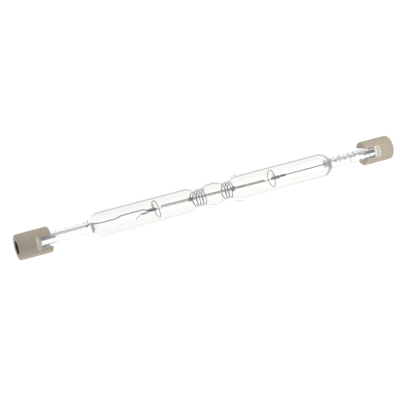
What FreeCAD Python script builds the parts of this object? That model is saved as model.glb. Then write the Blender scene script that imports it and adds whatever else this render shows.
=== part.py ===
import FreeCAD, Part
import math
import os
import Sketcher

# Double-ended linear halogen lamp: clear quartz envelope, coiled filament on wire supports, ceramic end caps.
# The lamp lies along X with its middle at the origin, and the pinch seals stand with their width along Z.

Vector = FreeCAD.Vector
ALONG_X = FreeCAD.Placement(Vector(), FreeCAD.Rotation(Vector(0, 1, 0), 90))
doc = FreeCAD.newDocument("linear_halogen_bulb")

# Driving dimensions in millimetres
SIZES = {
    "overall_length": 117.6,
    "pinch_run": 10.95,
    "tube_diameter": 8.0,
    "tube_wall": 0.8,
    "left_neck": 4.75,
    "right_neck": 3.9,
    "neck_land": 1.6,
    "neck_depth": 0.9,
    "neck_shoulder": 3.2,
    "middle_land": 1.0,
    "middle_depth": 0.2,
    "pinch_width": 6.4,
    "pinch_thickness": 2.6,
    "pinch_web": 1.8,
    "pinch_end_gap": 1.1,
    "cap_diameter": 7.2,
    "cap_length": 9.25,
    "cap_rim": 0.3,
    "cap_shift": 0.27,
    "slot_width": 3.2,
    "slot_depth": 4.15,
    "slot_corner": 0.4,
    "recess_diameter": 4.0,
    "recess_depth": 1.7,
    "contact_diameter": 3.2,
    "contact_thickness": 0.6,
    "seat_clearance": 0.05,
    "lead_hole_diameter": 1.0,
    "cement_sink": 1.1,
    "inner_lead_diameter": 0.32,
    "outer_lead_diameter": 0.6,
    "foil_thickness": 0.05,
    "foil_width": 3.0,
    "foil_margin": 1.0,
    "foil_tail": 3.0,
    "weld_overlap": 1.6,
    "weld_gap": 0.02,
    "left_lead_knee": 2.2,
    "left_lead_low_run": 5.0,
    "left_lead_step": 2.4,
    "left_lead_fall": 0.8,
    "left_lead_lift": 0.42,
    "left_lead_crest": 0.92,
    "left_grip_lift": 0.32,
    "filament_wire": 0.16,
    "coil_diameter": 0.78,
    "coil_pitch": 0.95,
    "left_coil_lift": 0.48,
    "right_coil_lift": 0.02,
    "left_leg": 1.85,
    "right_leg": 2.45,
    "tail_coil_diameter": 0.56,
    "tail_coil_length": 1.8,
    "tail_coil_dip": 0.1,
    "left_tail": 1.8,
    "left_tail_drop": 1.05,
    "support_wire": 0.24,
    "support_pitch": 0.97,
    "support_clearance": 0.08,
    "ring_diameter": 5.2,
    "left_ring_lift": 0.16,
    "right_ring_lift": 0.1,
    "left_lead_run": 20.35,
    "right_lead_run": 19.85,
    "grip_length": 2.6,
    "grip_lap": 0.25,
    "grip_clearance": 0.02,
    "turn_gap": 0.12,
    "collar_length": 0.9,
}

# Counts that set how finely round forms are drawn: glass shoulders, leads and wound wire
DOME_STEPS = 4
LEAD_SIDE_COUNT = 8
WIRE_SIDE_COUNT = 4
COIL_CHORDS = 6
GRIP_CHORDS = 6
LOOP_CHORDS = 12

# Turns that wires are wound with
LEFT_SUPPORT_TURNS = 4.0
RIGHT_SUPPORT_TURNS = 3.0
RING_TURNS = 1.1
SPIRAL_TURNS = 0.5
TAIL_TURNS = 3.0

# Angles in degrees, from Y: where coils start, where a ring's spoke leaves its grip, and each ring's lean
COIL_ANGLE = 180.0
TAIL_ANGLE = 0.0
SPOKE_ANGLE = 270.0
LEFT_RING_LEAN = 6.5
RIGHT_RING_LEAN = -4.0

sheet = doc.addObject("Spreadsheet::Sheet", "dims")
for row, (alias, size) in enumerate(SIZES.items(), start=1):
    sheet.set(f"A{row}", alias)
    sheet.set(f"B{row}", str(size))
    sheet.setAlias(f"B{row}", alias)
doc.recompute()


def size_of(expression):
    """The number that an expression on the sheet gives."""
    return float(sheet.evalExpression(expression))


# Distances from the middle of the lamp, as expressions on the sheet
TUBE_RADIUS = "(dims.tube_diameter / 2)"
END = "(dims.overall_length / 2)"
CAP_INNER = f"({END} - dims.cap_length)"
DOME_TIP = f"({CAP_INNER} - dims.pinch_run)"
DOME_CENTRE = f"({DOME_TIP} - {TUBE_RADIUS})"
LEFT_RING = f"({DOME_TIP} - dims.left_lead_run)"
RIGHT_RING = f"({DOME_TIP} - dims.right_lead_run)"
SLOT_END = f"({CAP_INNER} + dims.slot_depth)"
PINCH_END = f"({SLOT_END} - dims.pinch_end_gap)"
CONTACT_FACE = f"({END} - dims.recess_depth)"
CONTACT_BACK = f"({CONTACT_FACE} - dims.contact_thickness)"
FOIL_START = f"({DOME_TIP} + dims.foil_margin)"
FOIL_END = f"({PINCH_END} - dims.foil_tail)"
FOIL_UNDERSIDE = "(dims.outer_lead_diameter / 2 + dims.weld_gap)"
LEAD_OFFSET = "((dims.outer_lead_diameter - dims.inner_lead_diameter) / 2)"


def bind(owner, path, expression):
    """Drive one property of an object from the sheet."""
    owner.setExpression(path, expression)


def hold_point(sketch, edge, point, x, y):
    """Fix a sketch point at two expressions, on an axis where the expression is 0."""
    for kind, expression, axis in (("DistanceX", x, -2), ("DistanceY", y, -1)):
        if expression == "0":
            sketch.addConstraint(Sketcher.Constraint("PointOnObject", edge, point, axis))
            continue
        value = size_of(expression)
        index = sketch.addConstraint(Sketcher.Constraint(kind, -1, 1, edge, point, value))
        bind(sketch, f"Constraints[{index}]", expression)


def outline(sketch, corners, arcs=None):
    """Draw a closed outline through corners given as (x, y) expressions.

    arcs gives, for an edge's number, the x of the arc's centre; the other edges are straight.
    """
    arcs = arcs or {}
    points = [Vector(size_of(x), size_of(y), 0) for x, y in corners]
    starts = []
    ends = []
    for edge, start in enumerate(points):
        end = points[(edge + 1) % len(points)]
        if edge not in arcs:
            sketch.addGeometry(Part.LineSegment(start, end), False)
            starts.append(1)
            ends.append(2)
            continue
        centre_x = size_of(arcs[edge])
        reach = (start.x - centre_x) ** 2 - (end.x - centre_x) ** 2 + start.y ** 2 - end.y ** 2
        centre = Vector(centre_x, reach / (2 * (start.y - end.y)), 0)
        first = math.atan2(start.y - centre.y, start.x - centre.x)
        last = math.atan2(end.y - centre.y, end.x - centre.x)
        forward = (last - first) % (2 * math.pi) < math.pi
        circle = Part.Circle(centre, Vector(0, 0, 1), start.distanceToPoint(centre))
        sweep = (first, last) if forward else (last, first)
        sketch.addGeometry(Part.ArcOfCircle(circle, *sweep), False)
        starts.append(1 if forward else 2)
        ends.append(2 if forward else 1)
    for edge in range(len(points)):
        following = (edge + 1) % len(points)
        join = Sketcher.Constraint("Coincident", edge, ends[edge], following, starts[following])
        sketch.addConstraint(join)
    for edge, (x, y) in enumerate(corners):
        hold_point(sketch, edge, starts[edge], x, y)
    for edge, centre_x in arcs.items():
        if centre_x == "0":
            sketch.addConstraint(Sketcher.Constraint("PointOnObject", edge, 3, -2))
            continue
        index = sketch.addConstraint(Sketcher.Constraint("DistanceX", -1, 1, edge, 3, size_of(centre_x)))
        bind(sketch, f"Constraints[{index}]", centre_x)


def free_sketch(name):
    """A sketch on the XY plane, outside any body."""
    return doc.addObject("Sketcher::SketchObject", name)


def body_sketch(body, name):
    """A sketch on the XY plane of a body."""
    sketch = body.newObject("Sketcher::SketchObject", name)
    plane = next(item for item in body.Origin.OriginFeatures if item.Role == "XY_Plane")
    sketch.AttachmentSupport = [(plane, "")]
    sketch.MapMode = "FlatFace"
    return sketch


def mirrored(source, name, normal=Vector(1, 0, 0)):
    """The same piece at the lamp's other end."""
    copy = doc.addObject("Part::Mirroring", name)
    copy.Label = name
    copy.Source = source
    copy.Normal = normal
    return copy


def half_turned(source, name):
    """The same piece at the lamp's other end, set off to the other side of the seal."""
    return mirrored(mirrored(source, f"{name}_near"), name, Vector(0, 1, 0))


def revolved(name, sketch):
    """A solid turned round the lamp's axis."""
    turned = doc.addObject("Part::Revolution", name)
    turned.Source = sketch
    turned.Axis = Vector(1, 0, 0)
    turned.Base = Vector(0, 0, 0)
    turned.Angle = 360
    turned.Solid = True
    return turned


def cut(name, base, tool):
    """The base with the tool taken away."""
    result = doc.addObject("Part::Cut", name)
    result.Base = base
    result.Tool = tool
    return result


def compound(name, parts):
    """Several solids as one tool."""
    group = doc.addObject("Part::Compound", name)
    group.Links = parts
    return group


def lead(name, diameter, start, end, offset="0"):
    """A lead wire along X between two stations, set off along Y."""
    bar = doc.addObject("Part::Prism", name)
    bar.Label = name
    bar.Polygon = LEAD_SIDE_COUNT
    bind(bar, "Circumradius", f"{diameter} / 2")
    bind(bar, "Height", f"{end} - {start}")
    bar.Placement = ALONG_X
    bind(bar, "Placement.Base.x", start)
    if offset != "0":
        bind(bar, "Placement.Base.y", offset)
    return bar


def dome(centre, radius, steps):
    """Corners of a quarter round from the tube's wall to its axis."""
    corners = [(centre, radius)]
    for step in range(1, steps):
        swing = math.pi / 2 * step / steps
        corners.append((f"{centre} + {radius} * {math.sin(swing):.4f}", f"{radius} * {math.cos(swing):.4f}"))
    corners.append((f"{centre} + {radius}", "0"))
    return corners


def winding(x, radius, turns, chords, angle=0.0, y=(0.0, 0.0)):
    """Points of a wire wound round the X axis; x, radius and y run from their first value to their second."""
    count = max(2, round(turns * chords))
    points = []
    for step in range(count + 1):
        share = step / count
        swing = math.radians(angle) + 2 * math.pi * turns * share
        reach = radius[0] + (radius[1] - radius[0]) * share
        across = y[0] + (y[1] - y[0]) * share
        along = x[0] + (x[1] - x[0]) * share
        points.append(Vector(along, across + reach * math.cos(swing), reach * math.sin(swing)))
    return points


def mitred_wire(points, diameter, sides=WIRE_SIDE_COUNT):
    """A wire of even-sided section along straight runs, mitred where two runs meet."""
    runs = [(b - a).normalize() for a, b in zip(points, points[1:])]
    side = runs[0].cross(Vector(0, 0, 1)).normalize()
    rise = runs[0].cross(side)
    corners = []
    for flat in range(sides):
        swing = 2 * math.pi * flat / sides
        corners.append(points[0] + (side * math.cos(swing) + rise * math.sin(swing)) * (diameter / 2))
    sections = [corners]
    for number, run in enumerate(runs):
        mitre = run + runs[min(number + 1, len(runs) - 1)]
        slope = run.dot(mitre)
        corners = [c + run * ((points[number + 1] - c).dot(mitre) / slope) for c in corners]
        sections.append(corners)
    faces = [Part.Face(Part.makePolygon(sections[0] + sections[0][:1]))]
    faces.append(Part.Face(Part.makePolygon(sections[-1] + sections[-1][:1])))
    for near, far in zip(sections, sections[1:]):
        for flat in range(sides):
            after = (flat + 1) % sides
            quad = [near[flat], near[after], far[after], far[flat], near[flat]]
            faces.append(Part.Face(Part.makePolygon(quad)))
    solid = Part.Solid(Part.Shell(faces))
    if solid.Volume < 0:
        solid.reverse()
    return solid


def wire_piece(name, solid, x=0.0, turned=False):
    """A wound wire as a piece of its own, turned end for end at the lamp's right side."""
    piece = doc.addObject("Part::Feature", name)
    piece.Label = name
    piece.Shape = solid
    turn = FreeCAD.Rotation(Vector(0, 1, 0), 180 if turned else 0)
    piece.Placement = FreeCAD.Placement(Vector(x, 0, 0), turn)
    return piece


# Envelope outline: tube with two necks, a bulge between them and domed ends
def tube(name, inset):
    bulb = f"({TUBE_RADIUS} - {inset})"
    neck = f"({TUBE_RADIUS} - dims.neck_depth - {inset})"
    middle = f"({TUBE_RADIUS} - dims.middle_depth - {inset})"
    half_land = "dims.neck_land / 2"
    between = "(dims.right_neck - dims.left_neck) / 2"
    necks = [
        (f"-(dims.left_neck + {half_land} + dims.neck_shoulder)", bulb),
        (f"-(dims.left_neck + {half_land})", neck),
        (f"-(dims.left_neck - {half_land})", neck),
        (f"{between} - dims.middle_land / 2", middle),
        (f"{between} + dims.middle_land / 2", middle),
        (f"dims.right_neck - {half_land}", neck),
        (f"dims.right_neck + {half_land}", neck),
        (f"dims.right_neck + {half_land} + dims.neck_shoulder", bulb),
    ]
    right_dome = dome(DOME_CENTRE, bulb, DOME_STEPS)
    left_dome = [(f"-({x})", y) for x, y in reversed(right_dome)]
    sketch = free_sketch(f"{name}_outline")
    outline(sketch, left_dome + necks + right_dome)
    return revolved(name, sketch)


tube_outside = tube("tube_outside", "0")
tube_cavity = tube("tube_cavity", "dims.tube_wall")

# Pinch seal: a web with a rounded rail along each edge
RAIL_RADIUS = "(dims.pinch_thickness / 2)"
HALF_WEB = "(dims.pinch_web / 2)"
RAIL_TIP = "(dims.pinch_width / 2)"
RAIL_FOOT = f"({RAIL_TIP} - {RAIL_RADIUS} - sqrt({RAIL_RADIUS} ^ 2 - {HALF_WEB} ^ 2))"
pinch_section = free_sketch("pinch_section")
outline(
    pinch_section,
    [
        (HALF_WEB, RAIL_FOOT),
        ("0", RAIL_TIP),
        (f"-{HALF_WEB}", RAIL_FOOT),
        (f"-{HALF_WEB}", f"-{RAIL_FOOT}"),
        ("0", f"-{RAIL_TIP}"),
        (HALF_WEB, f"-{RAIL_FOOT}"),
    ],
    {0: "0", 1: "0", 3: "0", 4: "0"},
)
pinch_section.Placement = FreeCAD.Placement(Vector(), FreeCAD.Rotation(Vector(1, 1, 1), 120))
bind(pinch_section, "Placement.Base.x", DOME_CENTRE)
right_pinch = doc.addObject("Part::Extrusion", "right_pinch")
right_pinch.Base = pinch_section
right_pinch.DirMode = "Custom"
right_pinch.Dir = Vector(1, 0, 0)
right_pinch.Solid = True
bind(right_pinch, "LengthFwd", f"{PINCH_END} - {DOME_CENTRE}")
left_pinch = mirrored(right_pinch, "left_pinch")

# Current path through the seal: inner lead, foil and outer lead. The left inner lead is bent on its way
CAVITY_END = f"({DOME_TIP} - dims.tube_wall)"
LEAD_ROOT = f"({FOIL_START} + dims.weld_overlap)"
LEFT_GRIP = f"({LEFT_RING} - dims.grip_lap)"
RIGHT_GRIP = f"({RIGHT_RING} - dims.grip_lap)"
right_inner_lead = lead("right_inner_lead", "dims.inner_lead_diameter", RIGHT_GRIP, LEAD_ROOT, LEAD_OFFSET)
KNEE = f"({CAVITY_END} - dims.left_lead_knee)"
LOW_END = f"({KNEE} - dims.left_lead_low_run)"
GRIP_MOUTH = f"({LEFT_GRIP} + dims.grip_length + dims.support_wire)"
left_lead_bends = [
    (LEAD_ROOT, LEAD_OFFSET),
    (CAVITY_END, LEAD_OFFSET),
    (KNEE, "dims.left_lead_lift"),
    (LOW_END, "dims.left_lead_lift"),
    (f"{LOW_END} - dims.left_lead_step", "dims.left_lead_crest"),
    (f"{GRIP_MOUTH} + dims.left_lead_fall", "dims.left_lead_crest"),
    (GRIP_MOUTH, "dims.left_grip_lift"),
    (LEFT_GRIP, "dims.left_grip_lift"),
]
left_lead_path = [Vector(-size_of(x), size_of(y), 0) for x, y in left_lead_bends]
left_inner_lead = wire_piece(
    "left_inner_lead", mitred_wire(left_lead_path, size_of("dims.inner_lead_diameter"), LEAD_SIDE_COUNT)
)
right_outer_lead = lead(
    "right_outer_lead",
    "dims.outer_lead_diameter",
    f"({FOIL_END} - dims.weld_overlap)",
    CONTACT_BACK,
)
left_outer_lead = mirrored(right_outer_lead, "left_outer_lead")

right_foil = doc.addObject("Part::Box", "right_foil")
right_foil.Label = "right_foil"
bind(right_foil, "Length", f"{FOIL_END} - {FOIL_START}")
bind(right_foil, "Width", "dims.foil_thickness")
bind(right_foil, "Height", "dims.foil_width")
bind(right_foil, "Placement.Base.x", FOIL_START)
bind(right_foil, "Placement.Base.y", FOIL_UNDERSIDE)
bind(right_foil, "Placement.Base.z", "-dims.foil_width / 2")
left_foil = mirrored(right_foil, "left_foil")

# Quartz envelope: tube and seals in one, hollowed and bedded round the current path
blank = doc.addObject("Part::MultiFuse", "blank")
blank.Shapes = [tube_outside, right_pinch, left_pinch]
blank.Refine = True
shell = cut("shell", blank, tube_cavity)
current_path = compound(
    "current_path",
    [right_inner_lead, right_foil, right_outer_lead, left_inner_lead, left_foil, left_outer_lead],
)
quartz_envelope = cut("quartz_envelope", shell, current_path)
quartz_envelope.Label = "quartz_envelope"

# Ceramic cap: turned blank with contact recess and seat, slotted for the seal and holed for the lead.
# Each cap is set off to one side, so that the seal lies against one wall of its slot
CAP_RADIUS = "(dims.cap_diameter / 2)"
RECESS_RADIUS = "(dims.recess_diameter / 2)"
SEAT_RADIUS = "(dims.contact_diameter / 2 + dims.seat_clearance)"
slotted_cap = doc.addObject("PartDesign::Body", "slotted_cap")
cap_outline = body_sketch(slotted_cap, "cap_outline")
outline(
    cap_outline,
    [
        (CAP_INNER, "0"),
        (CONTACT_BACK, "0"),
        (CONTACT_BACK, SEAT_RADIUS),
        (CONTACT_FACE, SEAT_RADIUS),
        (CONTACT_FACE, RECESS_RADIUS),
        (END, RECESS_RADIUS),
        (END, f"{CAP_RADIUS} - dims.cap_rim"),
        (f"{END} - dims.cap_rim", CAP_RADIUS),
        (CAP_INNER, CAP_RADIUS),
    ],
)
cap_blank = slotted_cap.newObject("PartDesign::Revolution", "cap_blank")
cap_blank.Profile = cap_outline
cap_blank.ReferenceAxis = (cap_outline, ["H_Axis"])
cap_blank.Angle = 360
SLOT_MOUTH = f"({CAP_INNER} - dims.slot_corner)"
HALF_SLOT = "(dims.slot_width / 2)"
slot_outline = body_sketch(slotted_cap, "slot_outline")
outline(
    slot_outline,
    [
        (SLOT_MOUTH, HALF_SLOT),
        (SLOT_MOUTH, f"-{HALF_SLOT}"),
        (f"{SLOT_END} - dims.slot_corner", f"-{HALF_SLOT}"),
        (SLOT_END, f"-({HALF_SLOT} - dims.slot_corner)"),
        (SLOT_END, f"{HALF_SLOT} - dims.slot_corner"),
        (f"{SLOT_END} - dims.slot_corner", HALF_SLOT),
    ],
    {2: f"{SLOT_END} - dims.slot_corner", 4: f"{SLOT_END} - dims.slot_corner"},
)
cap_slot = slotted_cap.newObject("PartDesign::Pocket", "cap_slot")
cap_slot.Profile = slot_outline
cap_slot.Midplane = True
cap_slot.Type = "ThroughAll"
slotted_cap.Tip = cap_slot
bind(slotted_cap, "Placement.Base.y", "dims.cap_shift")
lead_hole = lead("lead_hole", "dims.lead_hole_diameter", CAP_INNER, CONTACT_FACE)
right_cap = cut("right_cap", slotted_cap, lead_hole)
right_cap.Label = "right_cap"
left_cap = half_turned(right_cap, "left_cap")

# Contact button: a disc seated at the foot of the recess, with the outer lead welded to its back
right_contact = doc.addObject("Part::Cylinder", "right_contact")
right_contact.Label = "right_contact"
bind(right_contact, "Radius", "dims.contact_diameter / 2")
bind(right_contact, "Height", "dims.contact_thickness")
right_contact.Placement = ALONG_X
bind(right_contact, "Placement.Base.x", CONTACT_BACK)
bind(right_contact, "Placement.Base.y", "dims.cap_shift")
left_contact = half_turned(right_contact, "left_contact")

# Cement: a plug between the end of the seal and the foot of the cap's slot
right_cement_block = doc.addObject("Part::Box", "right_cement_block")
bind(right_cement_block, "Length", "dims.pinch_end_gap")
bind(right_cement_block, "Width", "dims.slot_width")
bind(right_cement_block, "Height", "dims.cap_diameter - 2 * dims.cement_sink")
bind(right_cement_block, "Placement.Base.x", PINCH_END)
bind(right_cement_block, "Placement.Base.y", "dims.cap_shift - dims.slot_width / 2")
bind(right_cement_block, "Placement.Base.z", f"dims.cement_sink - {CAP_RADIUS}")
cement_room = compound("cement_room", [right_cap, right_outer_lead])
right_cement = cut("right_cement", right_cement_block, cement_room)
right_cement.Label = "right_cement"
left_cement = half_turned(right_cement, "left_cement")


# Wound wires: radii follow the glass that they seat in and the wire that they hold
support_wire = size_of("dims.support_wire")
filament_wire = size_of("dims.filament_wire")
lead_radius = size_of("dims.inner_lead_diameter") / 2
clearance = size_of("dims.grip_clearance")
close_pitch = support_wire + size_of("dims.turn_gap")
chord_sag = math.cos(math.pi / GRIP_CHORDS)
left_lead_y = size_of("dims.left_grip_lift")
right_lead_y = size_of(LEAD_OFFSET)


def beside(lead_y):
    """Height of a filament leg that lies against its lead."""
    return lead_y - lead_radius - clearance - filament_wire / 2


# Filament: a wound tail and a leg at each end, and the coil between
left_leg_y = beside(left_lead_y)
right_leg_y = beside(right_lead_y)
left_grip = -size_of(LEFT_GRIP)
right_grip = size_of(RIGHT_GRIP)
grip_length = size_of("dims.grip_length")
coil_radius = (size_of("dims.coil_diameter") - filament_wire) / 2
coil_start = size_of(f"dims.left_leg - {LEFT_RING}")
coil_end = size_of(f"{RIGHT_RING} - dims.right_leg")
coil_turns = round((coil_end - coil_start) / size_of("dims.coil_pitch"))
coil_lift = (size_of("dims.left_coil_lift"), size_of("dims.right_coil_lift"))
tail_length = size_of("dims.tail_coil_length")
tail_radius = (size_of("dims.tail_coil_diameter") - filament_wire) / 2
tail_start = left_grip - grip_length - support_wire
tail_end = tail_start - tail_length
tail_y = left_leg_y - size_of("dims.tail_coil_dip")
tail_tip = Vector(tail_end - size_of("dims.left_tail"), tail_y - size_of("dims.left_tail_drop"), 0)
filament_path = [tail_tip] + winding(
    (tail_end, tail_start),
    (tail_radius, tail_radius),
    TAIL_TURNS,
    COIL_CHORDS,
    TAIL_ANGLE,
    (tail_y - tail_radius, left_leg_y - tail_radius),
)
filament_path.append(Vector((left_grip + coil_start) / 2, left_leg_y, 0))
filament_path += winding(
    (coil_start, coil_end), (coil_radius, coil_radius), coil_turns, COIL_CHORDS, COIL_ANGLE, coil_lift
)
filament_path.append(Vector((right_grip + coil_end) / 2, right_leg_y, 0))
filament_path.append(Vector(right_grip + grip_length, right_leg_y, 0))
wrap_radius = (lead_radius + clearance + filament_wire / 2) / chord_sag
wrap_start = right_grip + grip_length + support_wire
filament_path += winding(
    (wrap_start, wrap_start + tail_length),
    (wrap_radius, wrap_radius),
    TAIL_TURNS,
    COIL_CHORDS,
    COIL_ANGLE,
    (right_lead_y, right_lead_y),
)
filament = wire_piece("filament", mitred_wire(filament_path, filament_wire))


# End support: binds lead and leg, then a spoke carries a ring that stands inside the tube
def end_support(lead_y, ring_y, lean):
    bound_high = lead_y + lead_radius
    bound_low = beside(lead_y) - filament_wire / 2
    grip_y = (bound_high + bound_low) / 2
    grip_radius = ((bound_high - bound_low) / 2 + clearance + support_wire / 2) / chord_sag
    grip_turns = grip_length / close_pitch
    grip_lap = size_of("dims.grip_lap")
    ring_radius = (size_of("dims.ring_diameter") - support_wire) / 2
    path = winding(
        (grip_lap - grip_length, grip_lap),
        (grip_radius, grip_radius),
        grip_turns,
        GRIP_CHORDS,
        SPOKE_ANGLE - 360 * grip_turns,
        (grip_y, grip_y),
    )
    ring = winding(
        (0, close_pitch * RING_TURNS),
        (ring_radius, ring_radius),
        RING_TURNS,
        LOOP_CHORDS,
        SPOKE_ANGLE,
        (ring_y, ring_y),
    )
    slope = math.tan(math.radians(lean))
    path += [point - Vector(point.y * slope, 0, 0) for point in ring]
    return mitred_wire(path, support_wire)


left_ring_y = size_of("dims.left_ring_lift")
right_ring_y = size_of("dims.right_ring_lift")
left_end_shape = end_support(left_lead_y, left_ring_y, LEFT_RING_LEAN)
right_end_shape = end_support(right_lead_y, right_ring_y, RIGHT_RING_LEAN)
left_end_support = wire_piece("left_end_support", left_end_shape, -size_of(LEFT_RING))
right_end_support = wire_piece("right_end_support", right_end_shape, size_of(RIGHT_RING), True)


# Centre support: a collar on the coil, then open turns that seat in the neck
def centre_support(turns, station):
    neck_inside = size_of(f"{TUBE_RADIUS} - dims.tube_wall - dims.neck_depth")
    loop_radius = neck_inside - size_of("dims.support_clearance") - support_wire / 2
    half_loops = turns * size_of("dims.support_pitch") / 2
    collar_radius = (size_of("dims.coil_diameter") / 2 + clearance + support_wire / 2) / chord_sag
    collar_length = size_of("dims.collar_length")
    collar_turns = collar_length / close_pitch
    collar_end = half_loops + close_pitch
    collar_place = station + math.copysign(collar_end + collar_length / 2, station)
    share = (collar_place - coil_start) / (coil_end - coil_start)
    collar_y = coil_lift[0] + (coil_lift[1] - coil_lift[0]) * share
    collar_swing = 360 * collar_turns
    loop_swing = collar_swing + 360 * SPIRAL_TURNS
    path = winding(
        (-collar_end - collar_length, -collar_end),
        (collar_radius, collar_radius),
        collar_turns,
        GRIP_CHORDS,
        0,
        (collar_y, collar_y),
    )
    spiral = winding(
        (-collar_end, -half_loops),
        (collar_radius, loop_radius),
        SPIRAL_TURNS,
        LOOP_CHORDS,
        collar_swing,
        (collar_y, 0),
    )
    path += spiral[1:]
    path += winding((-half_loops, half_loops), (loop_radius, loop_radius), turns, LOOP_CHORDS, loop_swing)[1:]
    return mitred_wire(path, support_wire)


left_neck = -size_of("dims.left_neck")
right_neck = size_of("dims.right_neck")
left_centre_shape = centre_support(LEFT_SUPPORT_TURNS, left_neck)
right_centre_shape = centre_support(RIGHT_SUPPORT_TURNS, right_neck)
left_centre_support = wire_piece("left_centre_support", left_centre_shape, left_neck)
right_centre_support = wire_piece("right_centre_support", right_centre_shape, right_neck, True)

# Check every piece, then write it
doc.recompute()
for item in doc.Objects:
    if "Invalid" in item.State or "Error" in item.State:
        raise RuntimeError(f"{item.Label} did not recompute")
PIECES = [
    quartz_envelope,
    filament,
    left_end_support,
    right_end_support,
    left_centre_support,
    right_centre_support,
    left_inner_lead,
    right_inner_lead,
    left_foil,
    right_foil,
    left_outer_lead,
    right_outer_lead,
    left_contact,
    right_contact,
    left_cap,
    right_cap,
    left_cement,
    right_cement,
]
os.makedirs("parts", exist_ok=True)
for piece in PIECES:
    if piece.Shape.isNull() or not piece.Shape.isValid():
        raise RuntimeError(f"{piece.Label} has no valid shape")
    if len(piece.Shape.Solids) != 1:
        raise RuntimeError(f"{piece.Label} is not one solid")
for piece in PIECES:
    piece.Shape.exportStep(f"parts/{piece.Label}.step")
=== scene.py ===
import math

import bmesh
import bpy
from mathutils import Matrix, Vector


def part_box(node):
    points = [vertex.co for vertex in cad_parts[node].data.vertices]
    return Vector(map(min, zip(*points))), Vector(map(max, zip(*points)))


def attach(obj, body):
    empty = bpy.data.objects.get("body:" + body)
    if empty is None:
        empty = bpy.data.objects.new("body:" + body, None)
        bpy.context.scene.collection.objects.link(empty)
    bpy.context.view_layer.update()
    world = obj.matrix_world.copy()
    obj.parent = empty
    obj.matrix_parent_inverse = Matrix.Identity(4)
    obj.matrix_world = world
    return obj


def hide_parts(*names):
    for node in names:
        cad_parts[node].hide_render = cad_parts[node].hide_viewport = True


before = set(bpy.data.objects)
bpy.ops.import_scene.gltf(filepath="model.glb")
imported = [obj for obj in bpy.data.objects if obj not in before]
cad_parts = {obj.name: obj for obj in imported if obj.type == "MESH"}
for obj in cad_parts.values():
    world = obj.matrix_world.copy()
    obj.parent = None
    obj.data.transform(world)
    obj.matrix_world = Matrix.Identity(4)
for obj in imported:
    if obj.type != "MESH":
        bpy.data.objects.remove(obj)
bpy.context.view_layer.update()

# Linear halogen lamp along X, seen from above with its left end nearer. Lengths are in metres.
MM = 0.001
BODY = "root"

# Places read from the frame
SEAL_END_INSET = 0.03 * MM
TUBE_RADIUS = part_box("quartz_envelope")[1].y
PINCH_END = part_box("quartz_envelope")[1].x - SEAL_END_INSET
CAP_LOW, CAP_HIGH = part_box("right_cap")
CAP_INNER = CAP_LOW.x
CAP_OUTER = CAP_HIGH.x
CAP_RADIUS = CAP_HIGH.z
CAP_SHIFT = (CAP_LOW.y + CAP_HIGH.y) / 2
CONTACT_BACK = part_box("right_contact")[0].x
CONTACT_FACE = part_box("right_contact")[1].x
CONTACT_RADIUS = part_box("right_contact")[1].z
OUTER_LEAD_LOW, OUTER_LEAD_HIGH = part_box("right_outer_lead")
OUTER_LEAD_RADIUS = OUTER_LEAD_HIGH.z
LEAD_LOW, LEAD_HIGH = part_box("right_inner_lead")
LEAD_RADIUS = (LEAD_HIGH.z - LEAD_LOW.z) / 2
RIGHT_LEAD_Y = (LEAD_LOW.y + LEAD_HIGH.y) / 2

# Glass form
WALL = 0.8 * MM
LEFT_NECK = -4.75 * MM
RIGHT_NECK = 3.9 * MM
NECK_LAND = 1.6 * MM
NECK_DEPTH = 0.9 * MM
NECK_SHOULDER = 3.2 * MM
MIDDLE_LAND = 1.0 * MM
MIDDLE_DEPTH = 0.2 * MM
PINCH_RUN = 10.95 * MM
PINCH_WIDTH = 6.4 * MM
PINCH_THICKNESS = 2.6 * MM
PINCH_WEB = 1.8 * MM
PINCH_BLEND = 0.9 * MM
PINCH_EDGE = 0.35 * MM
RIPPLE_HEIGHT = 0.045 * MM
LONG_RIPPLE = 2.9 * MM
SHORT_RIPPLE = 1.7 * MM
RIPPLE_SWAY = 2.0
LONG_SWAYS = 2
SHORT_SWAYS = 3
LINE_HEIGHT = 0.0008 * MM
DOME_CENTRE = CAP_INNER - PINCH_RUN - TUBE_RADIUS
CAVITY_RADIUS = TUBE_RADIUS - WALL
CAVITY_END = DOME_CENTRE + TUBE_RADIUS - WALL

# Cap form
RIM_RADIUS = 0.45 * MM
SLOT_WIDTH = 3.2 * MM
SLOT_DEPTH = 4.15 * MM
SLOT_CORNER = 0.4 * MM
SLOT_EDGE = 0.3 * MM
RECESS_RADIUS = 2.0 * MM
RECESS_EDGE = 0.15 * MM
SEAT_CLEARANCE = 0.05 * MM
LEAD_HOLE_RADIUS = 0.5 * MM
SHARP_ANGLE = math.radians(40.0)

# Fineness of the meshes
GLASS_SEGMENTS = 144
GLASS_STEP = 0.4 * MM
SEAL_STEP = 0.25 * MM
DOME_STEPS = 28
EDGE_STEPS = 6
CAP_SEGMENTS = 40
BEVEL_SEGMENTS = 3
WIRE_SIDES = 10
STEPS_PER_TURN = 28
BEND_STEPS = 6
LEAST_STEP = 0.001 * MM

# Ends of the wires bulge by a share of their radius
END_BULGE = 0.5

# Filament: COIL_LIFT is the coil's height at its two ends
FILAMENT_WIRE = 0.16 * MM
COIL_RADIUS = 0.31 * MM
COIL_PITCH = 0.36 * MM
COIL_START = -16.4 * MM
COIL_END = 16.3 * MM
COIL_LIFT = (0.48 * MM, 0.02 * MM)
COIL_ANGLE = math.pi
TAIL_ANGLE = 0.0
TAIL_RADIUS = 0.2 * MM
TAIL_LENGTH = 1.8 * MM
TAIL_PITCH = 0.25 * MM
TAIL_DIP = 0.1 * MM
LEFT_TAIL = 1.8 * MM
LEFT_TAIL_DROP = 1.05 * MM

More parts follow.
